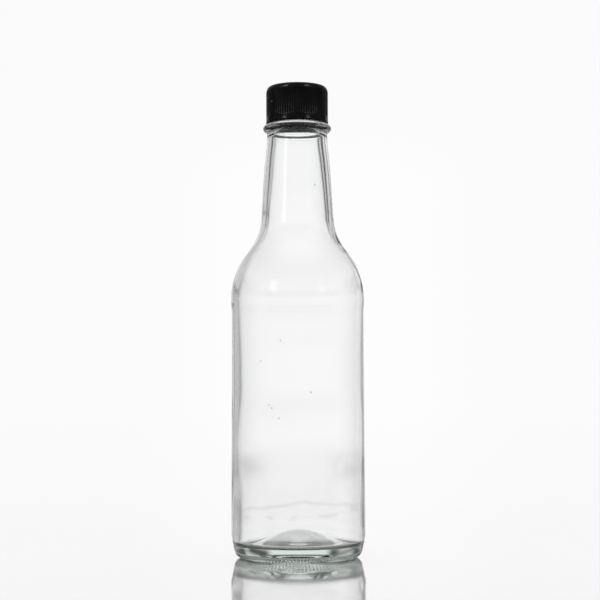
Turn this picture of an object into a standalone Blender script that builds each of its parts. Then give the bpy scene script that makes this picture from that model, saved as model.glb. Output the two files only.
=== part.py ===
# Clear glass sauce bottle with a black screw cap, in metres with +Z up.
# The origin is the centre of the flat ring that the bottle stands on.
# The glass is one hollow turned solid, open at the mouth, and the cap is a second one over it.
# Seen from the front, along +Y, the thicker side of the glass wall is on the left, at -X.

from collections import namedtuple
from math import acos, atan2, cos, hypot, pi, radians, sin, tan

import bmesh
import bpy

MM = 0.001

# Foot of the bottle, with a push-up under its middle
BEARING_INNER_RADIUS = 21.8 * MM
BEARING_OUTER_RADIUS = 23.6 * MM
HEEL_RADIUS = 4.4 * MM
PUSH_UP_HEIGHT = 4.4 * MM
PUSH_UP_POWER = 2.4

# Body, with a raised ring above and below the slightly sunken label panel
RING_RADIUS = 29.2 * MM
LOWER_RING_BOTTOM = 9.8 * MM
LOWER_RING_TOP = 15.5 * MM
PANEL_BOTTOM = 20.5 * MM
PANEL_TOP = 106.5 * MM
PANEL_BOTTOM_RADIUS = 29.1 * MM
PANEL_TOP_RADIUS = 28.87 * MM
UPPER_RING_BOTTOM = 110.4 * MM

# Shoulder: an arc out of the body, a straight cone, and an arc into the neck
SHOULDER_BOTTOM = 111.85 * MM
SHOULDER_ARC = 33.0 * MM
SHOULDER_ANGLE = radians(35.6)
SHOULDER_STRAIGHT = 5.1 * MM
NECK_FILLET = 22.5 * MM
NECK_TAPER = radians(3.54)

# Neck ring, and the round bead just below the cap
NECK_TOP = 171.0 * MM
NECK_RING_BOTTOM = 181.5 * MM
NECK_RING_RADIUS = 13.26 * MM
BEAD_HEIGHT = 187.25 * MM
BEAD_RADIUS = 1.65 * MM
BEAD_OUTER_RADIUS = 15.02 * MM

# Screw finish inside the cap, with one thread
FINISH_BOTTOM = 188.9 * MM
FINISH_RADIUS = 10.9 * MM
THREAD_DEPTH = 0.95 * MM
THREAD_PITCH = 3.2 * MM
THREAD_WIDTH = 2.1 * MM
THREAD_START = 192.4 * MM
THREAD_TURNS = 1.5
THREAD_RUN_OUT = 0.08
LIP_TOP = 204.1 * MM
LIP_OUTER_EDGE = 0.9 * MM
LIP_INNER_EDGE = 0.6 * MM

# Bore of the finish, narrow at the lip and wider at the bead
BORE_TOP_RADIUS = 8.2 * MM
BORE_BOTTOM_RADIUS = 9.6 * MM
BORE_BOTTOM = 190.0 * MM

# Wall of the glass: height, thickness towards -X, thickness towards +X
WALL = (
    (187.0 * MM, 2.7 * MM, 2.9 * MM),
    (177.0 * MM, 2.6 * MM, 2.8 * MM),
    (168.0 * MM, 2.55 * MM, 2.65 * MM),
    (158.0 * MM, 2.3 * MM, 2.4 * MM),
    (148.0 * MM, 2.2 * MM, 2.3 * MM),
    (139.0 * MM, 2.4 * MM, 2.2 * MM),
    (130.0 * MM, 2.5 * MM, 1.4 * MM),
    (121.0 * MM, 2.3 * MM, 0.9 * MM),
    (111.0 * MM, 2.1 * MM, 0.9 * MM),
    (99.0 * MM, 2.3 * MM, 1.2 * MM),
    (86.0 * MM, 2.6 * MM, 1.6 * MM),
    (74.0 * MM, 2.7 * MM, 1.6 * MM),
    (62.0 * MM, 2.2 * MM, 1.2 * MM),
    (50.0 * MM, 1.8 * MM, 1.1 * MM),
    (38.0 * MM, 2.0 * MM, 1.3 * MM),
    (25.0 * MM, 2.6 * MM, 1.7 * MM),
    (11.0 * MM, 2.8 * MM, 1.9 * MM),
)

# Inside floor: a tight corner, a low ring and a dome in the middle
FLOOR_CORNER = 2.0 * MM
FLOOR_HEIGHT = 6.2 * MM
DOME_HEIGHT = 12.2 * MM
DOME_FOOT_RADIUS = 24.0 * MM
DOME_TIP_RADIUS = 4.5 * MM

# Screw cap, with fine ribs above a smooth band
CAP_BOTTOM = 189.35 * MM
CAP_TOP = 205.8 * MM
BAND_RADIUS = 13.77 * MM
BAND_TOP = 191.9 * MM
BAND_EDGE = 0.5 * MM
RIB_RADIUS = 13.62 * MM
RIB_DEPTH = 0.16 * MM
RIB_COUNT = 80
RIB_BOTTOM = 192.2 * MM
RIB_TOP = 203.1 * MM
CAP_EDGE_WIDTH = 1.6 * MM
CAP_BORE_RADIUS = 12.3 * MM
CAP_CEILING = 204.45 * MM

# Facets
GLASS_SEGMENTS = 60
CAP_SEGMENTS = 2 * RIB_COUNT
PUSH_UP_STEPS = 6
HEEL_STEPS = 5
SHOULDER_STEPS = 6
FILLET_STEPS = 4
BEAD_STEPS = 5
THREAD_ROWS = 13
LIP_STEPS = 2
CORNER_STEPS = 3
DOME_STEPS = 6
CAP_EDGE_STEPS = 3

# One turned row: its radius and height, how far it sits off the axis, and relief on its radius
Row = namedtuple("Row", "radius height shift relief", defaults=(0.0, None))


def clear_scene():
    for old in list(bpy.data.objects):
        bpy.data.objects.remove(old, do_unlink=True)


def arc(centre, radius, start, end, steps, rise=None):
    """Points (radius, height) along an arc, or an ellipse's arc where it has its own rise."""
    tall = radius if rise is None else rise
    points = []
    for step in range(steps + 1):
        angle = start + (end - start) * step / steps
        points.append((centre[0] + radius * cos(angle), centre[1] + tall * sin(angle)))
    return points


def wall_at(height):
    """Wall thickness towards -X and towards +X at a height, smooth between its stations."""
    heights = [station[0] for station in WALL]
    if height >= heights[0]:
        return WALL[0][1:]
    if height <= heights[-1]:
        return WALL[-1][1:]
    spot = next(number for number in range(1, len(WALL)) if height >= heights[number])
    share = (height - heights[spot]) / (heights[spot - 1] - heights[spot])
    result = []
    for side in (1, 2):
        slopes = [wall_slope(number, side) * (heights[spot - 1] - heights[spot]) for number in (spot, spot - 1)]
        low, high = WALL[spot][side], WALL[spot - 1][side]
        bend = share * share * (3.0 - 2.0 * share)
        result.append(
            low + (high - low) * bend
            + slopes[0] * share * (1.0 - share) ** 2 - slopes[1] * share * share * (1.0 - share)
        )
    return tuple(result)


def wall_slope(number, side):
    """Change of thickness with height at a station, level where the wall is thickest or thinnest."""
    if number in (0, len(WALL) - 1):
        return 0.0
    rates = []
    for below, above in ((number + 1, number), (number, number - 1)):
        rates.append((WALL[above][side] - WALL[below][side]) / (WALL[above][0] - WALL[below][0]))
    if rates[0] * rates[1] <= 0.0:
        return 0.0
    return 2.0 * rates[0] * rates[1] / (rates[0] + rates[1])


def shoulder_points():
    """Outline from the top of the body to the foot of the neck."""
    centre = (RING_RADIUS - SHOULDER_ARC, SHOULDER_BOTTOM)
    points = arc(centre, SHOULDER_ARC, 0.0, SHOULDER_ANGLE, SHOULDER_STEPS)
    radius = points[-1][0] - SHOULDER_STRAIGHT * sin(SHOULDER_ANGLE)
    height = points[-1][1] + SHOULDER_STRAIGHT * cos(SHOULDER_ANGLE)
    centre = (radius + NECK_FILLET * cos(SHOULDER_ANGLE), height + NECK_FILLET * sin(SHOULDER_ANGLE))
    return points + arc(centre, NECK_FILLET, pi + SHOULDER_ANGLE, pi + NECK_TAPER, FILLET_STEPS)


def body_points():
    """Outline from the lower ring up to the neck ring."""
    shoulder = shoulder_points()
    neck_radius, neck_bottom = shoulder[-1]
    return [
        (RING_RADIUS, LOWER_RING_BOTTOM),
        (RING_RADIUS, LOWER_RING_TOP),
        (PANEL_BOTTOM_RADIUS, PANEL_BOTTOM),
        (PANEL_TOP_RADIUS, PANEL_TOP),
        (RING_RADIUS, UPPER_RING_BOTTOM),
        *shoulder,
        (neck_radius - (NECK_TOP - neck_bottom) * tan(NECK_TAPER), NECK_TOP),
        (NECK_RING_RADIUS, NECK_RING_BOTTOM),
    ]


def outside_radius(outline, height):
    """Radius of the outside at a height between the lower ring and the bead."""
    for low, high in zip(outline, outline[1:]):
        if height <= high[1]:
            return low[0] + (high[0] - low[0]) * (height - low[1]) / (high[1] - low[1])
    return outline[-1][0]


def push_up_height(radius):
    """Height of the push-up, nearly flat in its middle and steep at the ring."""
    return PUSH_UP_HEIGHT * (1.0 - (radius / BEARING_INNER_RADIUS) ** PUSH_UP_POWER) ** 0.5


def push_up_points():
    """Outline of the push-up from its middle to the ring, closer where it is steep."""
    radii = [BEARING_INNER_RADIUS * sin(0.5 * pi * step / PUSH_UP_STEPS) for step in range(PUSH_UP_STEPS)]
    return [(radius, push_up_height(radius)) for radius in radii] + [(BEARING_INNER_RADIUS, 0.0)]


def dome_height(radius):
    """Height of the floor's dome, a cone with a round tip."""
    slope = (DOME_HEIGHT - FLOOR_HEIGHT) / (DOME_FOOT_RADIUS - 0.5 * DOME_TIP_RADIUS)
    if radius < DOME_TIP_RADIUS:
        return DOME_HEIGHT - 0.5 * slope * radius * radius / DOME_TIP_RADIUS
    return FLOOR_HEIGHT + slope * (DOME_FOOT_RADIUS - radius)


def heel_points():
    """Arc from the bearing ring to where its tangent runs up to the lower ring."""
    across = RING_RADIUS - BEARING_OUTER_RADIUS
    up = LOWER_RING_BOTTOM - HEEL_RADIUS
    end = atan2(up, across) - acos(HEEL_RADIUS / hypot(across, up))
    return arc((BEARING_OUTER_RADIUS, HEEL_RADIUS), HEEL_RADIUS, -pi / 2.0, end, HEEL_STEPS)


def bead_points():
    """Round of the bead, from the neck ring over its widest place to its top."""
    centre = (BEAD_OUTER_RADIUS - BEAD_RADIUS, BEAD_HEIGHT)
    start = acos((NECK_RING_RADIUS - centre[0]) / BEAD_RADIUS)
    return arc(centre, BEAD_RADIUS, -start, pi / 2.0, BEAD_STEPS)


def thread_relief(angle, height):
    """How far the thread stands out of the finish at an angle and a height."""
    for turn in range(2):
        along = turn + angle / (2.0 * pi)
        offset = abs(height - THREAD_START - THREAD_PITCH * along)
        if along <= THREAD_TURNS and offset < 0.5 * THREAD_WIDTH:
            flank = min(1.0, (0.5 * THREAD_WIDTH - offset) / (0.25 * THREAD_WIDTH))
            end = min(1.0, along / THREAD_RUN_OUT, (THREAD_TURNS - along) / THREAD_RUN_OUT)
            return THREAD_DEPTH * flank * end
    return 0.0


def finish_rows():
    """Rows of the screw finish, from the bead to the top of the lip."""
    bottom = THREAD_START - THREAD_WIDTH
    top = THREAD_START + THREAD_PITCH * THREAD_TURNS + THREAD_WIDTH
    lip_centre = (FINISH_RADIUS - LIP_OUTER_EDGE, LIP_TOP - LIP_OUTER_EDGE)
    rows = [Row(FINISH_RADIUS, FINISH_BOTTOM)]
    for row in range(THREAD_ROWS + 1):
        height = bottom + (top - bottom) * row / THREAD_ROWS
        rows.append(Row(FINISH_RADIUS, height, relief=thread_relief))
    rows += [Row(*point) for point in arc(lip_centre, LIP_OUTER_EDGE, 0.0, pi / 2.0, LIP_STEPS)]
    return rows


def outer_rows(body):
    """Rows of the outside, from the middle of the underside over the lip."""
    points = push_up_points()
    points += heel_points()
    points += body
    points += bead_points()
    return [Row(*point) for point in points] + finish_rows()


def inner_rows(body):
    """Rows of the inside, from the lip down the bore and the wall to the middle of the floor."""
    lip_centre = (BORE_TOP_RADIUS + LIP_INNER_EDGE, LIP_TOP - LIP_INNER_EDGE)
    rows = [Row(*point) for point in arc(lip_centre, LIP_INNER_EDGE, pi / 2.0, pi, LIP_STEPS)]
    rows.append(Row(BORE_BOTTOM_RADIUS, BORE_BOTTOM))
    shoulder_heights = [height for _, height in shoulder_points()[1:-1:2]]
    bottom = FLOOR_HEIGHT + FLOOR_CORNER
    heights = {station[0] for station in WALL[:-1]} | set(shoulder_heights) | {bottom}
    for height in sorted(heights, reverse=True):
        thick, thin = wall_at(height)
        radius = outside_radius(body, height) - 0.5 * (thick + thin)
        rows.append(Row(radius, height, 0.5 * (thick - thin)))
    wall_foot = rows[-1]
    centre = (wall_foot.radius - FLOOR_CORNER, bottom)
    for radius, height in arc(centre, FLOOR_CORNER, 0.0, -pi / 2.0, CORNER_STEPS)[1:]:
        rows.append(Row(radius, height, wall_foot.shift))
    for step in range(DOME_STEPS, -1, -1):
        radius = DOME_FOOT_RADIUS * step / DOME_STEPS
        rows.append(Row(radius, dome_height(radius), wall_foot.shift * radius / DOME_FOOT_RADIUS))
    return rows


def turned_mesh(rows, segments):
    """Closed bmesh of rows turned round the Z axis, whose first and last row is a point."""
    mesh = bmesh.new()
    rings = []
    for row in rows:
        if row.radius == 0.0:
            rings.append([mesh.verts.new((row.shift, 0.0, row.height))] * segments)
            continue
        ring = []
        for segment in range(segments):
            angle = 2.0 * pi * segment / segments
            radius = row.radius + (row.relief(angle, row.height) if row.relief else 0.0)
            place = (row.shift + radius * cos(angle), radius * sin(angle), row.height)
            ring.append(mesh.verts.new(place))
        rings.append(ring)
    for low, high in zip(rings, rings[1:]):
        for segment in range(segments):
            after = (segment + 1) % segments
            corners = [low[segment], low[after], high[after], high[segment]]
            mesh.faces.new(list(dict.fromkeys(corners)))
    bmesh.ops.recalc_face_normals(mesh, faces=mesh.faces)
    return mesh


def make_object(name, mesh, material, sharp_angle):
    """Named object with smooth shading and one material."""
    data = bpy.data.meshes.new(name)
    mesh.to_mesh(data)
    mesh.free()
    data.shade_smooth()
    data.set_sharp_from_angle(angle=sharp_angle)
    data.materials.append(material)
    piece = bpy.data.objects.new(name, data)
    bpy.context.scene.collection.objects.link(piece)


def make_material(name, colour, roughness, transmission, ior):
    material = bpy.data.materials.new(name)
    material.use_nodes = True
    shader = material.node_tree.nodes["Principled BSDF"]
    shader.inputs["Base Color"].default_value = (*colour, 1.0)
    shader.inputs["Roughness"].default_value = roughness
    shader.inputs["Metallic"].default_value = 0.0
    shader.inputs["Transmission Weight"].default_value = transmission
    shader.inputs["IOR"].default_value = ior
    return material


def make_glass_bottle():
    body = body_points()
    mesh = turned_mesh(outer_rows(body) + inner_rows(body), GLASS_SEGMENTS)
    clear = make_material("clear_glass", (0.86, 0.91, 0.89), 0.03, 1.0, 1.52)
    make_object("glass_bottle", mesh, clear, radians(40.0))


def rib_relief(angle, height):
    """Ribs stand at every second facet of the cap, and the others are cut back."""
    facet = round(angle / (2.0 * pi) * CAP_SEGMENTS)
    return -RIB_DEPTH if facet % 2 else 0.0


def make_screw_cap():
    edge_centre = (RIB_RADIUS - CAP_EDGE_WIDTH, RIB_TOP)
    edge = arc(edge_centre, CAP_EDGE_WIDTH, 0.0, pi / 2.0, CAP_EDGE_STEPS, rise=CAP_TOP - RIB_TOP)
    rows = [
        Row(0.0, CAP_CEILING),
        Row(CAP_BORE_RADIUS, CAP_CEILING),
        Row(CAP_BORE_RADIUS, CAP_BOTTOM),
        Row(BAND_RADIUS - BAND_EDGE, CAP_BOTTOM),
        Row(BAND_RADIUS, CAP_BOTTOM + BAND_EDGE),
        Row(BAND_RADIUS, BAND_TOP),
        Row(RIB_RADIUS, RIB_BOTTOM, relief=rib_relief),
        Row(*edge[0], relief=rib_relief),
        *[Row(*point) for point in edge[1:]],
        Row(0.0, CAP_TOP),
    ]
    black = make_material("black_plastic", (0.02, 0.02, 0.022), 0.35, 0.0, 1.5)
    make_object("screw_cap", turned_mesh(rows, CAP_SEGMENTS), black, radians(30.0))


clear_scene()
make_glass_bottle()
make_screw_cap()
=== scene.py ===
# Clear glass sauce bottle with its black screw cap on, in metres with +Z up.
# Seen from the front, along +Y, the thicker side of the glass wall is on the left, at -X.

from collections import namedtuple
from math import acos, atan2, cos, hypot, pi, radians, sin, tan

import bpy
from mathutils import Euler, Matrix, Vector


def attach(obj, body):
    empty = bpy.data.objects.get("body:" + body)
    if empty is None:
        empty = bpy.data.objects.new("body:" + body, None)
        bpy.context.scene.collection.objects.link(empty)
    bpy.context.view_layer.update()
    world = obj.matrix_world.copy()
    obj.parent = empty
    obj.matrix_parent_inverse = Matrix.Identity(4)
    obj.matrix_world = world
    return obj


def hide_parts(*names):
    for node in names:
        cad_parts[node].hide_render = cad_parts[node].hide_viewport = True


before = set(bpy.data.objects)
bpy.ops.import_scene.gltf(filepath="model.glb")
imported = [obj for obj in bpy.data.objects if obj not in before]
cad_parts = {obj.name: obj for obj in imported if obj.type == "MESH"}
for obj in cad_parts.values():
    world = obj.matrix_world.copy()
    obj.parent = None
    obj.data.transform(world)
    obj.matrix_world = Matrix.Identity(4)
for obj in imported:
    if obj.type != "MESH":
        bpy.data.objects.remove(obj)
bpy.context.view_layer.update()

MM = 0.001
BODY = "root"

# Foot of the bottle, with a push-up under its middle
BEARING_INNER_RADIUS = 21.8 * MM
BEARING_OUTER_RADIUS = 23.6 * MM
BEARING_INNER_EDGE = 0.4 * MM
HEEL_RADIUS = 4.4 * MM
PUSH_UP_HEIGHT = 4.4 * MM
PUSH_UP_POWER = 2.4

# Body, with a raised ring above and below the slightly sunken label panel
RING_RADIUS = 29.2 * MM
LOWER_RING_BOTTOM = 9.8 * MM
LOWER_RING_TOP = 15.5 * MM
PANEL_BOTTOM = 20.5 * MM
PANEL_TOP = 106.5 * MM
PANEL_BOTTOM_RADIUS = 29.1 * MM
PANEL_TOP_RADIUS = 28.87 * MM
UPPER_RING_BOTTOM = 110.4 * MM

# Shoulder: an arc out of the body, a straight cone, and an arc into the neck
SHOULDER_BOTTOM = 111.85 * MM
SHOULDER_ARC = 33.0 * MM
SHOULDER_ANGLE = radians(35.6)
SHOULDER_STRAIGHT = 5.1 * MM
NECK_FILLET = 22.5 * MM
NECK_TAPER = radians(3.54)

# Neck ring, and the round bead just below the cap
NECK_TOP = 171.0 * MM
NECK_RING_BOTTOM = 181.5 * MM
NECK_RING_RADIUS = 13.26 * MM
BEAD_HEIGHT = 187.25 * MM
BEAD_RADIUS = 1.65 * MM
BEAD_OUTER_RADIUS = 15.02 * MM

# Screw finish inside the cap, with a small foot and one thread
FINISH_BOTTOM = 188.9 * MM
FINISH_RADIUS = 10.9 * MM
FINISH_FOOT_WIDTH = 0.8 * MM
FINISH_FOOT_HEIGHT = 0.6 * MM
THREAD_DEPTH = 0.95 * MM
THREAD_PITCH = 3.2 * MM
THREAD_WIDTH = 2.1 * MM
THREAD_START = 192.4 * MM
THREAD_TURNS = 1.5
THREAD_RUN_OUT = 0.08
THREAD_CREST = 0.35
LIP_TOP = 204.1 * MM
LIP_OUTER_EDGE = 0.9 * MM
LIP_INNER_EDGE = 0.6 * MM

# Bore of the finish, narrow at the lip and wider at the bead
BORE_TOP_RADIUS = 8.2 * MM
BORE_BOTTOM_RADIUS = 9.6 * MM
BORE_BOTTOM = 190.0 * MM

# Wall of the glass: height, thickness towards -X, thickness towards +X
WALL = (
    (187.0 * MM, 2.7 * MM, 2.9 * MM),
    (177.0 * MM, 2.6 * MM, 2.8 * MM),
    (168.0 * MM, 2.55 * MM, 2.65 * MM),
    (158.0 * MM, 2.3 * MM, 2.4 * MM),
    (148.0 * MM, 2.2 * MM, 2.3 * MM),
    (139.0 * MM, 2.4 * MM, 2.2 * MM),
    (130.0 * MM, 2.5 * MM, 1.4 * MM),
    (121.0 * MM, 2.3 * MM, 0.9 * MM),
    (111.0 * MM, 2.1 * MM, 0.9 * MM),
    (99.0 * MM, 2.3 * MM, 1.2 * MM),
    (86.0 * MM, 2.6 * MM, 1.6 * MM),
    (74.0 * MM, 2.7 * MM, 1.6 * MM),
    (62.0 * MM, 2.2 * MM, 1.2 * MM),
    (50.0 * MM, 1.8 * MM, 1.1 * MM),
    (38.0 * MM, 2.0 * MM, 1.3 * MM),
    (25.0 * MM, 2.6 * MM, 1.7 * MM),
    (11.0 * MM, 2.8 * MM, 1.9 * MM),
)

# Inside floor: a rounded corner, a low ring and a dome in the middle
FLOOR_CORNER = 2.0 * MM
FLOOR_HEIGHT = 6.2 * MM
DOME_HEIGHT = 12.2 * MM
DOME_FOOT_RADIUS = 24.0 * MM
DOME_TIP_RADIUS = 4.5 * MM

# Curved bars of the knurl on the lower heel, and the stippled push-up
KNURL_COUNT = 108
KNURL_DEPTH = 0.5 * MM
KNURL_CURVE = 0.3
KNURL_TOP = 2.6 * MM
KNURL_FADE = 0.3 * MM
STIPPLE_ROUGHNESS = 0.2
STIPPLE_RADIUS = 14.0 * MM
STIPPLE_FADE = 4.0 * MM

# Faint marks of moulding: waves on the inside, a settle ridge, and the seam of the mould halves
WAVE_DEPTH = 0.05 * MM
WAVE_LENGTH = 22.0 * MM
WAVE_SQUEEZE = (1.0, 1.0, 0.45)
WAVE_SEED = 3.0
SETTLE_HEIGHT = 19.5 * MM
SETTLE_SWING = 3.0 * MM
SETTLE_SWING_SCALE = 1.6
SETTLE_WIDTH = 2.2 * MM
SETTLE_DEPTH = 0.05 * MM
SEAM_HEIGHT = 0.04 * MM
SEAM_WIDTH = 0.35 * MM

# Painted shade on the glass: darker patches at both sides of the front, and a darker wandering line inside
# near the bottom
SIDE_SHADE_HEIGHT = 40.5 * MM
SIDE_SHADE_REACH = 5.5 * MM
SIDE_SHADE_INNER = 9.0 * MM
SIDE_SHADE_OUTER = 21.0 * MM
SIDE_SHADE_PATCH_SCALE = 90.0
SIDE_SHADE_LEVEL = 0.8
# Painted shade: a darker line round the inside near the bottom
SHADE_LINE_HEIGHT = 20.0 * MM
SHADE_LINE_TILT = 0.045
SHADE_LINE_SWING = 6.0 * MM
SHADE_LINE_SWING_SCALE = 60.0
SHADE_LINE_BREAK_SCALE = 110.0
SHADE_LINE_WIDTH = 0.8 * MM
SHADE_LINE_LEVEL = 0.8
FRONT_FADE = 5.0 * MM

# Clear glass with a faint green tint
GLASS_IOR = 1.52
GLASS_TINT = (0.5, 0.69, 0.57, 1.0)
GLASS_TINT_DENSITY = 10.0

# Light speck on the cap
SPECK_PLACE = (-11.1 * MM, -7.9 * MM, 198.2 * MM)
SPECK_RADIUS = 0.42 * MM
SPECK_COLOUR = (0.2, 0.2, 0.2, 1.0)

# Screw cap, with fine ribs above a smooth band
CAP_BOTTOM = 189.35 * MM
CAP_TOP = 205.8 * MM
BAND_RADIUS = 13.77 * MM
BAND_TOP = 191.9 * MM
BAND_EDGE = 0.5 * MM
BAND_LIP = 0.1 * MM
RIB_RADIUS = 13.62 * MM
RIB_DEPTH = 0.16 * MM
RIB_COUNT = 80
RIB_BOTTOM = 192.2 * MM
RIB_TOP = 203.1 * MM
RIB_RUN_IN = 0.35 * MM
RIB_RUN_OUT = 2.5
CAP_EDGE_WIDTH = 1.6 * MM
CAP_BORE_RADIUS = 12.3 * MM
CAP_CEILING = 204.45 * MM
CAP_CEILING_EDGE = 0.4 * MM
CAP_MOUTH_EDGE = 0.2 * MM
CAP_COLOUR = (0.0015, 0.0015, 0.0016, 1.0)
CAP_WORN_COLOUR = (0.003, 0.003, 0.0032, 1.0)

# Fineness of the turned meshes
GLASS_SEGMENTS = 4 * KNURL_COUNT
CAP_SEGMENTS = 6 * RIB_COUNT
INSIDE_ROWS = 52
ROW_GAP = 4.0 * MM
POINT_GAP = 0.001 * MM

# Reach of the soft corners at the rings and along the neck
RING_SOFTNESS = 2.2 * MM
NECK_SOFTNESS = 3.0 * MM

# Bubbles in the front wall, by their places in the photograph's 600 by 600 pixels
SEED_PIXELS = (
    (278.7, 342.4), (257.2, 361.8), (310.3, 390.4), (266.4, 402.1),
    (269.3, 405.2), (277.1, 415.9), (314.4, 184.7),
)
SEED_DEPTH = 0.45 * MM
SEED_RADIUS = 0.25 * MM
SEED_STRETCH = 1.5

# Camera
FRAME_PIXELS = 600
CAMERA_PLACE = Vector((0.0009, -0.62, 0.0771))
CAMERA_PITCH = radians(3.2)
CAMERA_ROLL = radians(0.19)
LENS = 85.0
SENSOR = 36.0

# One turned row: radius, height, how far it sits off the axis, and its share of each kind of relief
MARKS = ("inside", "knurl", "thread", "seam", "stipple")
Row = namedtuple("Row", ("radius", "height", "shift") + MARKS, defaults=(0.0,) * (1 + len(MARKS)))


# Outlines

def arc(centre, radius, start, end, steps, rise=None):
    """Points (radius, height) along an arc, or an ellipse's arc where it has its own rise."""
    tall = radius if rise is None else rise
    angles = [start + (end - start) * step / steps for step in range(steps + 1)]
    return [(centre[0] + radius * cos(angle), centre[1] + tall * sin(angle)) for angle in angles]


def between(start, end, share):
    return tuple(a + (b - a) * share for a, b in zip(start, end))


def apart(start, end):
    return hypot(end[0] - start[0], end[1] - start[1])


def clamped(value):
    return max(0.0, min(1.0, value))


def line(start, end, steps):
    """Points from start to just before end."""
    return [between(start, end, step / steps) for step in range(steps)]


def rounded(corners, reach, steps, gap):
    """Open outline through corners, each inner one softened over its reach, with rows at most gap apart."""
    points = []
    last = corners[0]
    for before, corner, after in zip(corners, corners[1:], corners[2:]):
        back = min(reach, 0.45 * apart(before, corner))
        on = min(reach, 0.45 * apart(corner, after))
        start = between(corner, before, back / apart(before, corner))
        end = between(corner, after, on / apart(corner, after))
        points += line(last, start, max(1, round(apart(last, start) / gap)))
        for step in range(steps):
            share = step / steps
            points.append(between(between(start, corner, share), between(corner, end, share), share))
        last = end
    points += line(last, corners[-1], max(1, round(apart(last, corners[-1]) / gap)))
    return points + [corners[-1]]


def wall_at(height):
    """Wall thickness towards -X and towards +X at a height, smooth between its stations."""
    heights = [station[0] for station in WALL]
    if height >= heights[0]:
        return WALL[0][1:]
    if height <= heights[-1]:
        return WALL[-1][1:]
    spot = next(number for number in range(1, len(WALL)) if height >= heights[number])
    span = heights[spot - 1] - heights[spot]
    share = (height - heights[spot]) / span
    result = []
    for side in (1, 2):
        slopes = [wall_slope(number, side) * span for number in (spot, spot - 1)]
        low, high = WALL[spot][side], WALL[spot - 1][side]
        bend = share * share * (3.0 - 2.0 * share)
        result.append(
            low + (high - low) * bend
            + slopes[0] * share * (1.0 - share) ** 2 - slopes[1] * share * share * (1.0 - share)
        )
    return tuple(result)


def wall_slope(number, side):
    """Change of thickness with height at a station, level where the wall is thickest or thinnest."""
    if number in (0, len(WALL) - 1):
        return 0.0
    rates = []
    for below, above in ((number + 1, number), (number, number - 1)):
        rates.append((WALL[above][side] - WALL[below][side]) / (WALL[above][0] - WALL[below][0]))
    if rates[0] * rates[1] <= 0.0:
        return 0.0
    return 2.0 * rates[0] * rates[1] / (rates[0] + rates[1])


def shoulder_points(shoulder_steps, fillet_steps):
    """Outline from the top of the body to the foot of the neck."""
    centre = (RING_RADIUS - SHOULDER_ARC, SHOULDER_BOTTOM)
    points = arc(centre, SHOULDER_ARC, 0.0, SHOULDER_ANGLE, shoulder_steps)
    radius = points[-1][0] - SHOULDER_STRAIGHT * sin(SHOULDER_ANGLE)
    height = points[-1][1] + SHOULDER_STRAIGHT * cos(SHOULDER_ANGLE)
    centre = (radius + NECK_FILLET * cos(SHOULDER_ANGLE), height + NECK_FILLET * sin(SHOULDER_ANGLE))
    return points + arc(centre, NECK_FILLET, pi + SHOULDER_ANGLE, pi + NECK_TAPER, fillet_steps)


def body_points():
    """Outline from the lower ring up to just below the bead."""
    shoulder = shoulder_points(12, 10)
    neck_radius, neck_bottom = shoulder[-1]
    rings = [
        (RING_RADIUS, LOWER_RING_BOTTOM),
        (RING_RADIUS, LOWER_RING_TOP),
        (PANEL_BOTTOM_RADIUS, PANEL_BOTTOM),
        (PANEL_TOP_RADIUS, PANEL_TOP),
        (RING_RADIUS, UPPER_RING_BOTTOM),
        (RING_RADIUS, SHOULDER_BOTTOM),
    ]
    neck = [
        (neck_radius, neck_bottom),
        (neck_radius - (NECK_TOP - neck_bottom) * tan(NECK_TAPER), NECK_TOP),
        (NECK_RING_RADIUS, NECK_RING_BOTTOM),
        bead_points(1)[0],
    ]
    rings = rounded(rings, RING_SOFTNESS, 3, ROW_GAP)
    neck = rounded(neck, NECK_SOFTNESS, 4, ROW_GAP)
    return rings + shoulder[1:-1] + neck[:-1]


def outside_radius(outline, height):
    """Radius of the outside at a height between the lower ring and the bead."""
    for low, high in zip(outline, outline[1:]):
        if height <= high[1]:
            return low[0] + (high[0] - low[0]) * (height - low[1]) / (high[1] - low[1])
    return outline[-1][0]


def dome_height(radius, foot_radius, foot_height, top_height, tip_radius):
    """Height of a cone with a round tip."""
    slope = (top_height - foot_height) / (foot_radius - 0.5 * tip_radius)
    if radius < tip_radius:
        return top_height - 0.5 * slope * radius * radius / tip_radius
    return foot_height + slope * (foot_radius - radius)


def push_up_height(radius):
    """Height of the push-up, nearly flat in its middle and steep at the ring."""
    return PUSH_UP_HEIGHT * (1.0 - (radius / BEARING_INNER_RADIUS) ** PUSH_UP_POWER) ** 0.5


def underside_rows():
    """From the middle of the push-up to the flat ring that the bottle stands on."""
    edge = BEARING_INNER_RADIUS - BEARING_INNER_EDGE
    radii = [edge * sin(0.5 * pi * step / 16) for step in range(16)]
    rows = [Row(radius, push_up_height(radius)) for radius in radii]
    top = (edge, push_up_height(edge))
    corner = (BEARING_INNER_RADIUS, 0.0)
    flat = (BEARING_INNER_RADIUS + BEARING_INNER_EDGE, 0.0)
    for step in range(4):
        share = step / 4
        rows.append(Row(*between(between(top, corner, share), between(corner, flat, share), share)))
    rows += [Row(*point) for point in line(flat, (BEARING_OUTER_RADIUS, 0.0), 3)]
    return [row._replace(stipple=clamped((STIPPLE_RADIUS - row.radius) / STIPPLE_FADE)) for row in rows]


def heel_points():
    """Arc from the bearing ring to where its tangent runs up to the lower ring."""
    across = RING_RADIUS - BEARING_OUTER_RADIUS
    up = LOWER_RING_BOTTOM - HEEL_RADIUS
    end = atan2(up, across) - acos(HEEL_RADIUS / hypot(across, up))
    return arc((BEARING_OUTER_RADIUS, HEEL_RADIUS), HEEL_RADIUS, -pi / 2.0, end, 14)


def bead_points(steps):
    """Round of the bead, from the neck ring over its widest place to its top."""
    centre = (BEAD_OUTER_RADIUS - BEAD_RADIUS, BEAD_HEIGHT)
    start = acos((NECK_RING_RADIUS - centre[0]) / BEAD_RADIUS)
    return arc(centre, BEAD_RADIUS, -start, pi / 2.0, steps)


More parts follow.
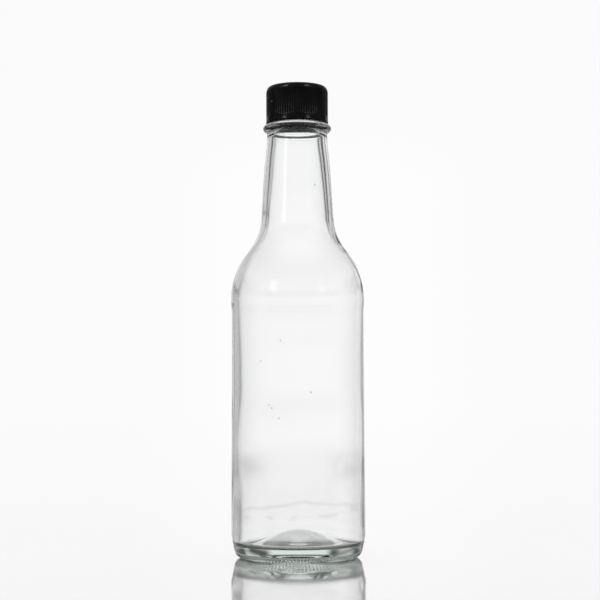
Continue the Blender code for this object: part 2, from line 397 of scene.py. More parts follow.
def finish_rows():
    """Rows of the screw finish, from the bead to the top of the lip."""
    bottom = THREAD_START - THREAD_WIDTH
    top = THREAD_START + THREAD_PITCH * THREAD_TURNS + THREAD_WIDTH
    lip_centre = (FINISH_RADIUS - LIP_OUTER_EDGE, LIP_TOP - LIP_OUTER_EDGE)
    rows = [Row(FINISH_RADIUS + FINISH_FOOT_WIDTH, FINISH_BOTTOM)]
    rows += [Row(FINISH_RADIUS, FINISH_BOTTOM + FINISH_FOOT_HEIGHT)]
    rows += [Row(*point, thread=1.0) for point in line((FINISH_RADIUS, bottom), (FINISH_RADIUS, top), 18)]
    rows += [Row(*point) for point in arc(lip_centre, LIP_OUTER_EDGE, 0.0, pi / 2.0, 4)]
    return rows


def knurled(point):
    """Row of the heel with the knurl's share there, which fades out towards its top."""
    return Row(*point, knurl=clamped((KNURL_TOP - point[1]) / KNURL_FADE))


def outer_rows(body):
    """Rows of the outside, from the middle of the underside over the lip."""
    rows = underside_rows()
    rows += [knurled(point) for point in heel_points()]
    rows += [Row(*point, seam=1.0) for point in body]
    rows += [Row(*point) for point in bead_points(12)]
    return rows + finish_rows()


def inner_rows(body):
    """Rows of the inside, from the lip down the bore and the wall to the middle of the floor."""
    lip_centre = (BORE_TOP_RADIUS + LIP_INNER_EDGE, LIP_TOP - LIP_INNER_EDGE)
    rows = [Row(*point) for point in arc(lip_centre, LIP_INNER_EDGE, pi / 2.0, pi, 4)]
    rows.append(Row(BORE_BOTTOM_RADIUS, BORE_BOTTOM))
    top, bottom = WALL[0][0], FLOOR_HEIGHT + FLOOR_CORNER
    for step in range(INSIDE_ROWS + 1):
        height = top + (bottom - top) * step / INSIDE_ROWS
        thick, thin = wall_at(height)
        radius = outside_radius(body, height) - 0.5 * (thick + thin)
        rows.append(Row(radius, height, 0.5 * (thick - thin), inside=1.0))
    foot = rows[-1]
    centre = (foot.radius - FLOOR_CORNER, FLOOR_HEIGHT + FLOOR_CORNER)
    rows += [Row(*point, foot.shift) for point in arc(centre, FLOOR_CORNER, 0.0, -pi / 2.0, 8)[1:]]
    edge = DOME_FOOT_RADIUS
    for step in range(12, -1, -1):
        radius = edge * step / 12
        height = dome_height(radius, edge, FLOOR_HEIGHT, DOME_HEIGHT, DOME_TIP_RADIUS)
        rows.append(Row(radius, height, foot.shift * radius / edge))
    return rows


def cap_rows():
    """From the middle of the cap's ceiling down its bore and up its ribs to the middle of its top."""
    edge_centre = (RIB_RADIUS - CAP_EDGE_WIDTH, RIB_TOP)
    edge = arc(edge_centre, CAP_EDGE_WIDTH, 0.0, pi / 2.0, 10, rise=CAP_TOP - RIB_TOP)
    rows = [Row(0.0, CAP_CEILING), Row(CAP_BORE_RADIUS - CAP_CEILING_EDGE, CAP_CEILING)]
    rows += [Row(CAP_BORE_RADIUS, CAP_CEILING - CAP_CEILING_EDGE)]
    rows += [Row(CAP_BORE_RADIUS, CAP_BOTTOM + CAP_MOUTH_EDGE)]
    rows += [Row(CAP_BORE_RADIUS + CAP_MOUTH_EDGE, CAP_BOTTOM)]
    band_centre = (BAND_RADIUS - BAND_EDGE, CAP_BOTTOM + BAND_EDGE)
    rows += [Row(*point) for point in arc(band_centre, BAND_EDGE, -pi / 2.0, 0.0, 5)]
    rows += [Row(BAND_RADIUS - 0.02 * MM, CAP_BOTTOM + 0.7 * MM)]
    rows += [Row(BAND_RADIUS - BAND_LIP, CAP_BOTTOM + 1.0 * MM), Row(BAND_RADIUS - BAND_LIP, BAND_TOP)]
    rows += [Row(RIB_RADIUS, RIB_BOTTOM), Row(RIB_RADIUS, RIB_BOTTOM + RIB_RUN_IN, knurl=1.0)]
    rows += [Row(*point, knurl=clamped(1.0 - step / RIB_RUN_OUT)) for step, point in enumerate(edge[:-1])]
    rows += [Row(edge[-1][0], CAP_TOP), Row(0.5 * edge[-1][0], CAP_TOP), Row(0.0, CAP_TOP)]
    return rows


# Node helpers

def new_group(name, kind, inputs, outputs):
    """Node group with named sockets, and its input and output nodes."""
    group = bpy.data.node_groups.new(name, kind)
    for title, socket_type, default in inputs:
        socket = group.interface.new_socket(title, in_out="INPUT", socket_type=socket_type)
        if default is not None:
            socket.default_value = default
    for title, socket_type in outputs:
        group.interface.new_socket(title, in_out="OUTPUT", socket_type=socket_type)
    return group, group.nodes.new("NodeGroupInput"), group.nodes.new("NodeGroupOutput")


def feed(tree, socket, value):
    """Links a socket to another's output, or sets its value."""
    if isinstance(value, bpy.types.NodeSocket):
        tree.links.new(value, socket)
    else:
        socket.default_value = value


def add(tree, kind, inputs=None, **settings):
    """New node with its settings and its inputs, by name or number."""
    node = tree.nodes.new(kind)
    for name, value in settings.items():
        setattr(node, name, value)
    for key, value in (inputs or {}).items():
        feed(tree, node.inputs[key], value)
    return node


def maths(tree, operation, *values):
    """Output of a Math node."""
    return add(tree, "ShaderNodeMath", dict(enumerate(values)), operation=operation).outputs[0]


def product(tree, first, *others):
    """Output of a chain of Math nodes that multiply."""
    for value in others:
        first = maths(tree, "MULTIPLY", first, value)
    return first


def smooth_share(tree, value, low, high):
    """0 at low, 1 at high and smooth between them."""
    inputs = {"Value": value, "From Min": low, "From Max": high}
    return add(tree, "ShaderNodeMapRange", inputs, interpolation_type="SMOOTHSTEP").outputs["Result"]


def ramp(tree, value, low, high, start, end):
    """Straight change from start at low to end at high."""
    inputs = {"Value": value, "From Min": low, "From Max": high, "To Min": start, "To Max": end}
    return add(tree, "ShaderNodeMapRange", inputs).outputs["Result"]


def bell(tree, value, width):
    """1 where a value is 0, falling off smoothly over a width."""
    square = maths(tree, "POWER", maths(tree, "DIVIDE", value, width), 2.0)
    return maths(tree, "EXPONENT", maths(tree, "MULTIPLY", square, -1.0))


def noise_of(tree, vector, scale, detail, **inputs):
    """Output of a Noise Texture, in four dimensions where it has a W."""
    inputs.update(Vector=vector, Scale=scale, Detail=detail)
    dimensions = "4D" if "W" in inputs else "3D"
    return add(tree, "ShaderNodeTexNoise", inputs, noise_dimensions=dimensions).outputs[0]


def split(tree, vector):
    """X, Y and Z of a vector."""
    return add(tree, "ShaderNodeSeparateXYZ", {0: vector}).outputs


def joined(tree, x, y, z):
    """Vector of X, Y and Z."""
    return add(tree, "ShaderNodeCombineXYZ", {0: x, 1: y, 2: z}).outputs[0]


# Geometry Nodes

def turn_outline_group():
    """Turns an outline's rows round the axis into one closed skin that keeps the rows' marks."""
    inputs = [("Outline", "NodeSocketGeometry", None), ("Segments", "NodeSocketInt", 64)]
    inputs += [("Point Gap", "NodeSocketFloat", POINT_GAP)]
    outputs = [("Skin", "NodeSocketGeometry")]
    group, given, result = new_group("turn_outline", "GeometryNodeTree", inputs, outputs)
    outline, segments = given.outputs["Outline"], given.outputs["Segments"]
    rows = add(group, "GeometryNodeAttributeDomainSize", {"Geometry": outline}).outputs["Point Count"]
    across = maths(group, "ADD", segments, 1.0)
    grid = add(group, "GeometryNodeMeshGrid", {"Vertices X": across, "Vertices Y": rows}).outputs["Mesh"]
    index = add(group, "GeometryNodeInputIndex").outputs[0]
    row = maths(group, "FLOORED_MODULO", index, rows)
    turn = maths(group, "FLOOR", maths(group, "DIVIDE", index, rows))
    angle = maths(group, "MULTIPLY", maths(group, "DIVIDE", turn, segments), 2.0 * pi)

    def at_row(value, kind):
        inputs = {"Geometry": outline, "Value": value, "Index": row}
        return add(group, "GeometryNodeSampleIndex", inputs, data_type=kind).outputs["Value"]

    here = add(group, "GeometryNodeInputPosition").outputs[0]
    radius, shift, height = split(group, at_row(here, "FLOAT_VECTOR"))
    across_x = maths(group, "ADD", product(group, radius, maths(group, "COSINE", angle)), shift)
    across_y = product(group, radius, maths(group, "SINE", angle))
    spot = joined(group, across_x, across_y, height)
    skin = add(group, "GeometryNodeSetPosition", {"Geometry": grid, "Position": spot}).outputs[0]
    for name in MARKS:
        store = {"Geometry": skin, "Name": name, "Value": at_row(marked(group, name), "FLOAT")}
        store = add(group, "GeometryNodeStoreNamedAttribute", store, data_type="FLOAT", domain="POINT")
        skin = store.outputs[0]
    merged = {"Geometry": skin, "Distance": given.outputs["Point Gap"]}
    skin = add(group, "GeometryNodeMergeByDistance", merged).outputs[0]
    feed(group, result.inputs["Skin"], skin)
    return group


def marked(tree, name):
    """Share of one kind of relief, as the rows carry it."""
    node = add(tree, "GeometryNodeInputNamedAttribute", {"Name": name}, data_type="FLOAT")
    return node.outputs["Attribute"]


def hand_over(tree, result, geometry, material):
    """Makes instances real, sets the material and puts the piece out."""
    real = add(tree, "GeometryNodeRealizeInstances", {"Geometry": geometry}).outputs[0]
    dressed = add(tree, "GeometryNodeSetMaterial", {"Geometry": real, "Material": material}).outputs[0]
    feed(tree, result.inputs["Piece"], dressed)


def turned_tree(name, sizes, relief):
    """Tree that turns an outline, moves its skin along its normals by the relief, and sets a material."""
    inputs = [("Outline", "NodeSocketGeometry", None), ("Segments", "NodeSocketInt", 64)]
    inputs += [("Material", "NodeSocketMaterial", None)]
    for title, value in sizes.items():
        inputs.append((title, "NodeSocketInt" if isinstance(value, int) else "NodeSocketFloat", value))
    tree, given, result = new_group(name, "GeometryNodeTree", inputs, [("Piece", "NodeSocketGeometry")])
    skin = add(tree, "GeometryNodeGroup", node_tree=TURN_OUTLINE)
    for title in ("Outline", "Segments"):
        feed(tree, skin.inputs[title], given.outputs[title])
    place = split(tree, add(tree, "GeometryNodeInputPosition").outputs[0])
    angle = maths(tree, "ARCTAN2", place[1], place[0])
    normal = add(tree, "GeometryNodeInputNormal").outputs[0]
    rise = relief(tree, given.outputs, angle, place)
    offset = add(tree, "ShaderNodeVectorMath", {0: normal, "Scale": rise}, operation="SCALE").outputs[0]
    moved = {"Geometry": skin.outputs[0], "Offset": offset}
    moved = add(tree, "GeometryNodeSetPosition", moved).outputs[0]
    hand_over(tree, result, moved, given.outputs["Material"])
    return tree


def thread_rise(tree, given, angle, height):
    """Right-handed thread that stands out of the finish and runs out at both ends."""
    turn = maths(tree, "FLOORED_MODULO", maths(tree, "DIVIDE", angle, 2.0 * pi), 1.0)
    above = maths(tree, "SUBTRACT", height, given["Thread Start"])
    level = maths(tree, "DIVIDE", above, given["Thread Pitch"])
    lap = maths(tree, "ROUND", maths(tree, "SUBTRACT", level, turn))
    lap = maths(tree, "MINIMUM", maths(tree, "MAXIMUM", lap, 0.0), 1.0)
    along = maths(tree, "ADD", turn, lap)
    offset = maths(tree, "ABSOLUTE", maths(tree, "SUBTRACT", level, along))
    offset = maths(tree, "MULTIPLY", offset, given["Thread Pitch"])
    half = maths(tree, "MULTIPLY", given["Thread Width"], 0.5)
    flank = smooth_share(tree, offset, half, maths(tree, "MULTIPLY", half, THREAD_CREST))
    left = maths(tree, "MINIMUM", along, maths(tree, "SUBTRACT", given["Thread Turns"], along))
    end = smooth_share(tree, left, 0.0, THREAD_RUN_OUT)
    return product(tree, flank, end, given["Thread Depth"], marked(tree, "thread"))


def knurl_rise(tree, given, angle, height):
    """Curved bars left standing round the heel by cutting the rest of it back."""
    half = 0.5 * KNURL_TOP
    bend = maths(tree, "DIVIDE", maths(tree, "ABSOLUTE", maths(tree, "SUBTRACT", height, half)), half)
    phase = product(tree, bend, KNURL_CURVE, 2.0 * pi)
    wave = maths(tree, "ADD", maths(tree, "MULTIPLY", angle, given["Knurl Count"]), phase)
    cut = maths(tree, "SUBTRACT", maths(tree, "COSINE", wave), 1.0)
    return product(tree, cut, 0.5, given["Knurl Depth"], marked(tree, "knurl"))


def settle_rise(tree, given, angle, height):
    """Low wandering ridge inside the wall, where the glass settled in the first mould."""
    spot = joined(tree, maths(tree, "COSINE", angle), maths(tree, "SINE", angle), 0.0)
    noise = noise_of(tree, spot, SETTLE_SWING_SCALE, 1.0, W=given["Seed"])
    swing = maths(tree, "MULTIPLY", maths(tree, "SUBTRACT", noise, 0.5), SETTLE_SWING)
    level = maths(tree, "SUBTRACT", maths(tree, "SUBTRACT", height, SETTLE_HEIGHT), swing)
    return maths(tree, "MULTIPLY", bell(tree, level, SETTLE_WIDTH), given["Settle Depth"])


def inside_rise(tree, given, angle, height):
    """Slow waves and the settle ridge of the inside, which no mould touched."""
    spot = {0: add(tree, "GeometryNodeInputPosition").outputs[0], 1: WAVE_SQUEEZE}
    spot = add(tree, "ShaderNodeVectorMath", spot, operation="MULTIPLY").outputs[0]
    noise = noise_of(tree, spot, 1.0 / WAVE_LENGTH, 0.0, W=given["Seed"])
    depth = maths(tree, "MULTIPLY", given["Wave Depth"], 2.0)
    wave = maths(tree, "MULTIPLY", maths(tree, "SUBTRACT", noise, 0.5), depth)
    rise = maths(tree, "ADD", wave, settle_rise(tree, given, angle, height))
    return maths(tree, "MULTIPLY", rise, marked(tree, "inside"))


def seam_rise(tree, given, place):
    """Faint line where the mould's halves met, at both sides."""
    share = smooth_share(tree, maths(tree, "ABSOLUTE", place[1]), SEAM_WIDTH, 0.0)
    room = maths(tree, "SUBTRACT", RING_RADIUS, maths(tree, "ABSOLUTE", place[0]))
    high = maths(tree, "MINIMUM", given["Seam Height"], maths(tree, "MAXIMUM", room, 0.0))
    return product(tree, share, high, marked(tree, "seam"))


def glass_relief(tree, given, angle, place):
    """Thread, knurl, inside and seam, which have no rows in common."""
    thread = thread_rise(tree, given, angle, place[2])
    knurl = knurl_rise(tree, given, angle, place[2])
    inside = inside_rise(tree, given, angle, place[2])
    total = maths(tree, "ADD", maths(tree, "ADD", thread, knurl), inside)
    return maths(tree, "ADD", total, seam_rise(tree, given, place))


def cap_relief(tree, given, angle, place):
    """Ribs with narrow grooves between them."""
    wave = maths(tree, "COSINE", maths(tree, "MULTIPLY", angle, given["Rib Count"]))
    groove = smooth_share(tree, wave, 0.2, -0.9)
    depth = maths(tree, "MULTIPLY", given["Rib Depth"], -1.0)
    return product(tree, groove, depth, marked(tree, "knurl"))


def outline_mesh(name, rows):
    """Line of points whose X is the radius, Y the shift off the axis and Z the height, with its marks."""
    data = bpy.data.meshes.new(name)
    links = [(number, number + 1) for number in range(len(rows) - 1)]
    data.from_pydata([(row.radius, row.shift, row.height) for row in rows], links, [])
    for mark in MARKS:
        layer = data.attributes.new(mark, "FLOAT", "POINT")
        for point, row in zip(layer.data, rows):
            point.value = getattr(row, mark)
    return data


def turned_piece(name, rows, segments, material, sizes, relief):
    """Plain mesh of an outline turned and given its relief, with its sizes on the tree's named inputs."""
    guide = bpy.data.objects.new(name + "_outline", outline_mesh(name + "_outline", rows))
    bpy.context.scene.collection.objects.link(guide)
    tree = turned_tree(name + "_tree", sizes, relief)
    return evaluated_piece(guide, name, tree, dict(sizes, Segments=segments, Material=material))


def evaluated_piece(guide, name, tree, values):
    """Plain mesh of what a tree makes of a guide, with the values set on the tree's named inputs."""
    modifier = guide.modifiers.new("Made", "NODES")
    modifier.node_group = tree
    sockets = {item.name: item.identifier for item in tree.interface.items_tree if item.in_out == "INPUT"}
    for title, value in values.items():
        modifier[sockets[title]] = value
    return as_plain_mesh(guide, name)


def as_plain_mesh(guide, name):
    """New object with the evaluated mesh of a guide, which goes."""
    shown = guide.evaluated_get(bpy.context.evaluated_depsgraph_get())
    data = bpy.data.meshes.new_from_object(shown)
    data.name = name
    data.shade_smooth()
    bpy.data.objects.remove(guide, do_unlink=True)
    piece = bpy.data.objects.new(name, data)
    bpy.context.scene.collection.objects.link(piece)
    return piece


# Materials

def new_material(name):
    material = bpy.data.materials.new(name)
    material.use_nodes = True
    return material, material.node_tree, material.node_tree.nodes["Principled BSDF"]


def handled_surface_group():
    """Fine unevenness and a thin film from handling, for any moulded surface."""
    inputs = [("Grain", "NodeSocketFloat", 1500.0), ("Film Scale", "NodeSocketFloat", 60.0)]
    inputs += [("Clean Roughness", "NodeSocketFloat", 0.0), ("Film Roughness", "NodeSocketFloat", 0.1)]
    outputs = [("Roughness", "NodeSocketFloat"), ("Height", "NodeSocketFloat"), ("Film", "NodeSocketFloat")]
    group, given, result = new_group("handled_surface", "ShaderNodeTree", inputs, outputs)
    place = add(group, "ShaderNodeTexCoord").outputs["Object"]
    fine = noise_of(group, place, given.outputs["Grain"], 3.0)
    broad = noise_of(group, place, given.outputs["Film Scale"], 5.0)
    film = smooth_share(group, broad, 0.45, 0.75)
    clean = given.outputs["Clean Roughness"]
    step = maths(group, "SUBTRACT", given.outputs["Film Roughness"], clean)
    rough = maths(group, "ADD", maths(group, "MULTIPLY", film, step), clean)
    feed(group, result.inputs["Roughness"], rough)
    feed(group, result.inputs["Height"], fine)
    feed(group, result.inputs["Film"], film)
    return group


def handled(tree, shader, values, bump_strength, bump_distance):
    """Places the handled surface group in a material and feeds its shader."""
    group = add(tree, "ShaderNodeGroup", node_tree=HANDLED_SURFACE)
    for title, value in values.items():
        feed(tree, group.inputs[title], value)
    feed(tree, shader.inputs["Roughness"], group.outputs["Roughness"])
    bump = {"Strength": bump_strength, "Distance": bump_distance, "Height": group.outputs["Height"]}
    feed(tree, shader.inputs["Normal"], add(tree, "ShaderNodeBump", bump).outputs[0])
    return group


def shaded(tree, share, shade):
    """1 where the share is 0, down to the shade where it is 1."""
    return maths(tree, "SUBTRACT", 1.0, maths(tree, "MULTIPLY", share, 1.0 - shade))


def painted_side_shade(tree):
    """Painted shade: brightness of darker patches at both sides of the front, on the front half only."""
    place = add(tree, "ShaderNodeTexCoord").outputs["Object"]
    spot = split(tree, place)
    aside = smooth_share(tree, maths(tree, "ABSOLUTE", spot[0]), SIDE_SHADE_INNER, SIDE_SHADE_OUTER)
    front = smooth_share(tree, spot[1], 0.0, -FRONT_FADE)
    level = bell(tree, maths(tree, "SUBTRACT", spot[2], SIDE_SHADE_HEIGHT), SIDE_SHADE_REACH)
    patchy = smooth_share(tree, noise_of(tree, place, SIDE_SHADE_PATCH_SCALE, 3.0), 0.2, 0.6)
    return shaded(tree, product(tree, aside, front, product(tree, level, patchy)), SIDE_SHADE_LEVEL)


def painted_line_shade(tree):
    """Painted shade: brightness along a darker wandering line round the inside near the bottom, broken at
    the front.
    """
    spot = split(tree, add(tree, "ShaderNodeTexCoord").outputs["Object"])
    round_way = joined(tree, spot[0], spot[1], 0.0)
    noise = noise_of(tree, round_way, SHADE_LINE_SWING_SCALE, 2.0)
    swing = maths(tree, "MULTIPLY", maths(tree, "SUBTRACT", noise, 0.5), SHADE_LINE_SWING)
    swing = maths(tree, "ADD", swing, maths(tree, "MULTIPLY", spot[0], SHADE_LINE_TILT))
    level = maths(tree, "SUBTRACT", maths(tree, "SUBTRACT", spot[2], SHADE_LINE_HEIGHT), swing)
    whole = smooth_share(tree, noise_of(tree, round_way, SHADE_LINE_BREAK_SCALE, 1.0), 0.45, 0.6)
    whole = maths(tree, "MAXIMUM", whole, smooth_share(tree, spot[1], 0.0, FRONT_FADE))
    inside = add(tree, "ShaderNodeAttribute", attribute_name="inside").outputs["Fac"]
    return shaded(tree, product(tree, bell(tree, level, SHADE_LINE_WIDTH), whole, inside), SHADE_LINE_LEVEL)


def clear_glass():
    """Clear glass that is faintly green inside, with its film, painted shade at the sides of the front and
    low inside, and stippled under the push-up.
    """
    material, tree, shader = new_material("clear_glass")
    shader.inputs["Base Color"].default_value = (1.0, 1.0, 1.0, 1.0)
    shader.inputs["Metallic"].default_value = 0.0
    shader.inputs["Transmission Weight"].default_value = 1.0
    shader.inputs["IOR"].default_value = GLASS_IOR
    values = {"Grain": 90.0, "Film Scale": 45.0, "Clean Roughness": 0.0, "Film Roughness": 0.02}
    group = handled(tree, shader, values, bump_strength=0.15, bump_distance=0.05 * MM)
    stipple = add(tree, "ShaderNodeAttribute", attribute_name="stipple").outputs["Fac"]
    stipple = maths(tree, "MULTIPLY", stipple, STIPPLE_ROUGHNESS)
    rough = maths(tree, "MAXIMUM", group.outputs["Roughness"], stipple)
    feed(tree, shader.inputs["Roughness"], rough)
    # Painted shade in the base colour: darker patches at the sides of the front and a darker line low
    # inside
    shade = maths(tree, "MULTIPLY", painted_side_shade(tree), painted_line_shade(tree))
    feed(tree, shader.inputs["Base Color"], joined(tree, shade, shade, shade))
    tint = {"Color": GLASS_TINT, "Density": GLASS_TINT_DENSITY}
    tint = add(tree, "ShaderNodeVolumeAbsorption", tint).outputs[0]
    feed(tree, tree.nodes["Material Output"].inputs["Volume"], tint)
    return material


def seed_air():
    """Air in the glass, seen from inside the glass."""
    material, tree, shader = new_material("seed_air")
    shader.inputs["Base Color"].default_value = (1.0, 1.0, 1.0, 1.0)
    shader.inputs["Transmission Weight"].default_value = 1.0
    shader.inputs["IOR"].default_value = 1.0 / GLASS_IOR
    values = {"Grain": 3000.0, "Clean Roughness": 0.0, "Film Roughness": 0.02}
    handled(tree, shader, values, bump_strength=0.05, bump_distance=0.01 * MM)
    return material


def colour_mix(tree, share, first, second):
    """First colour at a share of 0, second at 1."""
    node = add(tree, "ShaderNodeMix", {0: share}, data_type="RGBA")
    feed(tree, node.inputs[6], first)
    feed(tree, node.inputs[7], second)
    return node.outputs[2]


def black_plastic():
    """Black moulded plastic, paler where it is handled, with one light speck."""
    material, tree, shader = new_material("black_plastic")
    values = {"Grain": 2500.0, "Film Scale": 140.0, "Clean Roughness": 0.16, "Film Roughness": 0.28}
    group = handled(tree, shader, values, bump_strength=0.25, bump_distance=0.04 * MM)
    colour = colour_mix(tree, group.outputs["Film"], CAP_COLOUR, CAP_WORN_COLOUR)
    away = {0: add(tree, "ShaderNodeTexCoord").outputs["Object"], 1: SPECK_PLACE}
    away = add(tree, "ShaderNodeVectorMath", away, operation="DISTANCE").outputs["Value"]
    speck = smooth_share(tree, away, SPECK_RADIUS, 0.4 * SPECK_RADIUS)
    feed(tree, shader.inputs["Base Color"], colour_mix(tree, speck, colour, SPECK_COLOUR))
    shader.inputs["IOR"].default_value = 1.5
    shader.inputs["Specular IOR Level"].default_value = 0.07
    return material


# Pieces

def make_glass_bottle():
    """Bottle with its thread, knurl, waves, settle ridge and seam."""
    body = body_points()
    sizes = {
        "Thread Depth": THREAD_DEPTH, "Thread Pitch": THREAD_PITCH, "Thread Width": THREAD_WIDTH,
        "Thread Start": THREAD_START, "Thread Turns": THREAD_TURNS,
        "Knurl Count": KNURL_COUNT, "Knurl Depth": KNURL_DEPTH,
        "Wave Depth": WAVE_DEPTH, "Settle Depth": SETTLE_DEPTH,
        "Seam Height": SEAM_HEIGHT, "Seed": WAVE_SEED,
    }
    rows = outer_rows(body) + inner_rows(body)
    return turned_piece("bottle_glass", rows, GLASS_SEGMENTS, clear_glass(), sizes, glass_relief)


def make_screw_cap():
    """Cap with its ribs."""
    sizes = {"Rib Count": RIB_COUNT, "Rib Depth": RIB_DEPTH}
    return turned_piece("bottle_cap", cap_rows(), CAP_SEGMENTS, black_plastic(), sizes, cap_relief)


def seed_places():
    """Points just under the skin of the front, where the camera sees each bubble."""
    body = body_points()
    focal = LENS / SENSOR * FRAME_PIXELS
    middle = 0.5 * FRAME_PIXELS
    turn = Euler((pi / 2.0 + CAMERA_PITCH, CAMERA_ROLL, 0.0)).to_matrix()
    places = []
    for across, down in SEED_PIXELS:
        ray = turn @ Vector(((across - middle) / focal, (middle - down) / focal, -1.0))
        reach = -CAMERA_PLACE.y
        for _ in range(12):
            spot = CAMERA_PLACE + ray * reach
            skin = outside_radius(body, spot.z) - SEED_DEPTH
            reach += (hypot(spot.x, spot.y) - skin) * (1.0 if spot.y < 0.0 else -1.0)
        places.append(CAMERA_PLACE + ray * reach)
    return places


def seeds_tree():
    """Tree that sets a small upright bubble at each point."""
    inputs = [("Places", "NodeSocketGeometry", None), ("Radius", "NodeSocketFloat", SEED_RADIUS)]
    inputs += [("Stretch", "NodeSocketFloat", SEED_STRETCH), ("Material", "NodeSocketMaterial", None)]
    outputs = [("Piece", "NodeSocketGeometry")]
    tree, given, result = new_group("glass_seeds_tree", "GeometryNodeTree", inputs, outputs)
    ball = {"Radius": given.outputs["Radius"], "Subdivisions": 3}
    ball = add(tree, "GeometryNodeMeshIcoSphere", ball).outputs[0]
    tall = joined(tree, 1.0, 1.0, given.outputs["Stretch"])
    placed = {"Points": given.outputs["Places"], "Instance": ball, "Scale": tall}
    placed = add(tree, "GeometryNodeInstanceOnPoints", placed).outputs[0]
    hand_over(tree, result, placed, given.outputs["Material"])
    return tree


def make_seeds():
    """Bubbles in the front wall."""
    data = bpy.data.meshes.new("glass_seeds_places")
    data.from_pydata([tuple(place) for place in seed_places()], [], [])
    guide = bpy.data.objects.new("glass_seeds_places", data)
    bpy.context.scene.collection.objects.link(guide)
    values = {"Radius": SEED_RADIUS, "Stretch": SEED_STRETCH, "Material": seed_air()}
    return evaluated_piece(guide, "glass_seeds", seeds_tree(), values)


# Studio

def make_camera():
    data = bpy.data.cameras.new("camera")
    data.lens = LENS
    data.sensor_width = SENSOR
    data.clip_start = 0.01
    camera = bpy.data.objects.new("camera", data)
    camera.location = CAMERA_PLACE
    camera.rotation_euler = (pi / 2.0 + CAMERA_PITCH, CAMERA_ROLL, 0.0)
    bpy.context.scene.collection.objects.link(camera)
    bpy.context.scene.camera = camera


# Table, and its changes with Facing, which is 0 seen square on and 1 seen along it:
# where each change begins and ends, and its value before and after
TABLE_RADIUS = 60.0
TABLE_SIDES = 96
TABLE_GLOSS = (0.5, 0.88, 0.05, 0.87)
TABLE_FAR_GLOSS = (0.9, 0.98, 0.0, 0.13)
TABLE_ROUGHNESS = (0.93, 0.98, 0.08, 0.0)
# Paleness of the matte part is painted shade: dark where the table is seen steeply, white where it is seen
# flat
TABLE_SHADED_PALENESS = (0.6, 0.85, 0.26, 1.0)


def make_table():
    """Wide glossy white table, more of a mirror the flatter it is seen, its matte part painted darker where
    it is seen steeply, as painted shade.
    """
    data = bpy.data.meshes.new("table")
    turns = [2.0 * pi * number / TABLE_SIDES for number in range(TABLE_SIDES)]
    ring = [(TABLE_RADIUS * cos(turn), TABLE_RADIUS * sin(turn), 0.0) for turn in turns]
    data.from_pydata(ring, [], [tuple(range(TABLE_SIDES))])
    table = bpy.data.objects.new("table", data)
    bpy.context.scene.collection.objects.link(table)
    material, tree, shader = new_material("white_acrylic")
    tree.nodes.remove(shader)
    facing = add(tree, "ShaderNodeLayerWeight", {"Blend": 0.5}).outputs["Facing"]
    share = maths(tree, "ADD", ramp(tree, facing, *TABLE_GLOSS), ramp(tree, facing, *TABLE_FAR_GLOSS))
    gloss = {"Color": (1.0, 1.0, 1.0, 1.0), "Roughness": ramp(tree, facing, *TABLE_ROUGHNESS)}
    gloss = add(tree, "ShaderNodeBsdfGlossy", gloss).outputs[0]
    # Painted shade: the matte colour darkens as the table is seen more steeply
    matte = add(tree, "ShaderNodeBsdfDiffuse", {"Color": ramp(tree, facing, *TABLE_SHADED_PALENESS)}).outputs[0]
    both = add(tree, "ShaderNodeMixShader", {0: share, 1: matte, 2: gloss}).outputs[0]
    feed(tree, tree.nodes["Material Output"].inputs["Surface"], both)
    data.materials.append(material)


# Soft light round the table: middle and half width in degrees from straight behind, softness,
# brightness, the elevations of its lower and upper end, and how softly it ends there
Panel = namedtuple("Panel", "middle half soft light low high edge", defaults=(-99.0, 99.0, 4.0))
PANELS = {
    "upper room": Panel(0.0, 200.0, 1.0, 0.6, low=20.0, edge=8.0),
    "upper back": Panel(-0.5, 17.0, 9.0, 1.1, low=20.0, edge=8.0),
    "back": Panel(-0.5, 18.5, 7.0, 0.96, high=20.0, edge=8.0),
    "back glow": Panel(1.0, 5.5, 6.0, 0.985, high=9.5, edge=4.0),
    "left strip": Panel(-35.5, 8.5, 9.0, 0.6, high=8.0, edge=3.0),
    "right strip": Panel(46.0, 8.5, 7.0, 0.65, high=8.5, edge=2.0),
    "upper left": Panel(-32.0, 14.0, 14.0, 0.64, low=9.0, high=20.0, edge=3.0),
    "upper right": Panel(34.0, 9.0, 8.0, 0.75, low=9.0, high=20.0, edge=3.0),
    "front": Panel(180.0, 91.0, 60.0, 0.75, high=34.0, edge=10.0),
    "camera side": Panel(180.0, 75.0, 40.0, 0.2, low=4.0, high=13.0, edge=5.0),
    "left light": Panel(-134.0, 4.5, 9.0, 2.2, low=13.0, high=27.0, edge=5.0),
    "right light": Panel(138.0, 4.0, 7.0, 0.9, low=11.0, high=26.0, edge=4.0),
}

# Dim wall behind the panels, low and high up at each side, and the ceiling
LEFT_WALL = 0.27
RIGHT_WALL = 0.48
LEFT_HIGH_WALL = 0.1
RIGHT_HIGH_WALL = 0.1
CEILING = 1.2


def blended(tree, share, first, second):
    """First brightness at a share of 0, second at 1."""
    return add(tree, "ShaderNodeMix", {0: share, 2: first, 3: second}).outputs[0]


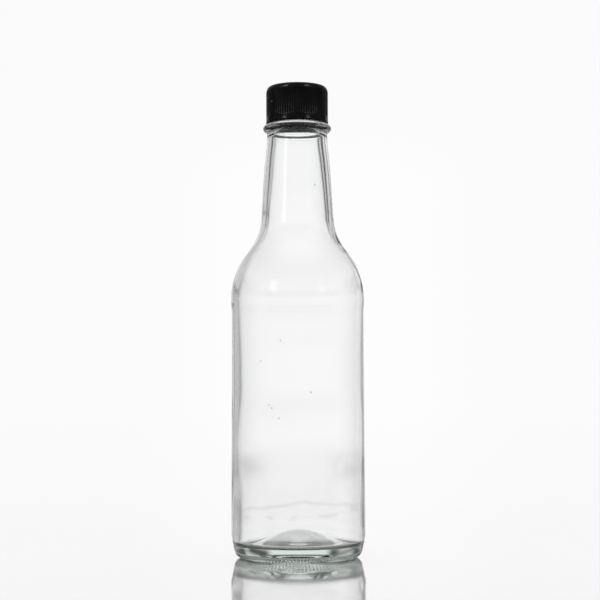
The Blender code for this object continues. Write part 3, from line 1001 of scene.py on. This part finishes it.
def make_world():
    """Studio round the table, as soft panels on a dimmer wall under a bright ceiling."""
    world = bpy.data.worlds.new("studio")
    bpy.context.scene.world = world
    world.use_nodes = True
    tree = world.node_tree
    place = split(tree, add(tree, "ShaderNodeTexCoord").outputs["Generated"])
    azimuth = maths(tree, "DEGREES", maths(tree, "ARCTAN2", place[0], place[1]))
    elevation = maths(tree, "DEGREES", maths(tree, "ARCSINE", place[2]))
    right = smooth_share(tree, azimuth, -5.0, 5.0)
    low = blended(tree, right, LEFT_WALL, RIGHT_WALL)
    high = blended(tree, right, LEFT_HIGH_WALL, RIGHT_HIGH_WALL)
    light = blended(tree, smooth_share(tree, elevation, 4.8, 6.8), low, high)
    for panel in PANELS.values():
        away = maths(tree, "WRAP", maths(tree, "SUBTRACT", azimuth, panel.middle), 180.0, -180.0)
        away = maths(tree, "ABSOLUTE", away)
        soft, edge = 0.5 * panel.soft, 0.5 * panel.edge
        share = smooth_share(tree, away, panel.half + soft, panel.half - soft)
        below = smooth_share(tree, elevation, panel.high + edge, panel.high - edge)
        above = smooth_share(tree, elevation, panel.low - edge, panel.low + edge)
        share = product(tree, share, product(tree, above, below))
        light = blended(tree, share, light, panel.light)
    light = blended(tree, smooth_share(tree, elevation, 45.0, 80.0), light, CEILING)
    feed(tree, tree.nodes["Background"].inputs["Color"], light)


# Upright lights on the cap alone: degrees from straight in front, and elevations of both ends
RimLight = namedtuple("RimLight", "azimuth low high radiance")
RIM_LIGHTS = {
    "left_rim": RimLight(-50.0, 26.0, 46.0, 24.0),
    "right_rim": RimLight(43.0, 26.0, 44.0, 21.0),
}
RIM_DISTANCE = 1.5
RIM_WIDTH = 0.3
RIM_BASE = 0.15
RIM_AIM = Vector((0.0, 0.0, 0.1))


def make_rim_light(name, rim, lit):
    """Upright light on the pieces of one collection."""
    bottom, top = RIM_DISTANCE * tan(radians(rim.low)), RIM_DISTANCE * tan(radians(rim.high))
    data = bpy.data.lights.new(name, "AREA")
    data.shape = "RECTANGLE"
    data.size = RIM_WIDTH
    data.size_y = top - bottom
    data.energy = rim.radiance * pi * data.size * data.size_y
    light = bpy.data.objects.new(name, data)
    turn = radians(rim.azimuth)
    across, back = RIM_DISTANCE * sin(turn), -RIM_DISTANCE * cos(turn)
    light.location = (across, back, RIM_BASE + 0.5 * (bottom + top))
    light.rotation_euler = (RIM_AIM - light.location).to_track_quat("-Z", "Y").to_euler()
    bpy.context.scene.collection.objects.link(light)
    light.light_linking.receiver_collection = lit


TURN_OUTLINE = turn_outline_group()
HANDLED_SURFACE = handled_surface_group()

make_camera()
glass = make_glass_bottle()
cap = make_screw_cap()
seeds = make_seeds()
for piece, node, slot in ((glass, "glass_bottle", "clear_glass"), (cap, "screw_cap", "black_plastic")):
    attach(piece, BODY)
    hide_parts(node)

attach(seeds, BODY)

make_table()
make_world()
lit = bpy.data.collections.new("cap_only")
lit.objects.link(cap)
for name, rim in RIM_LIGHTS.items():
    make_rim_light(name, rim, lit)
bpy.context.scene.view_settings.view_transform = "Standard"
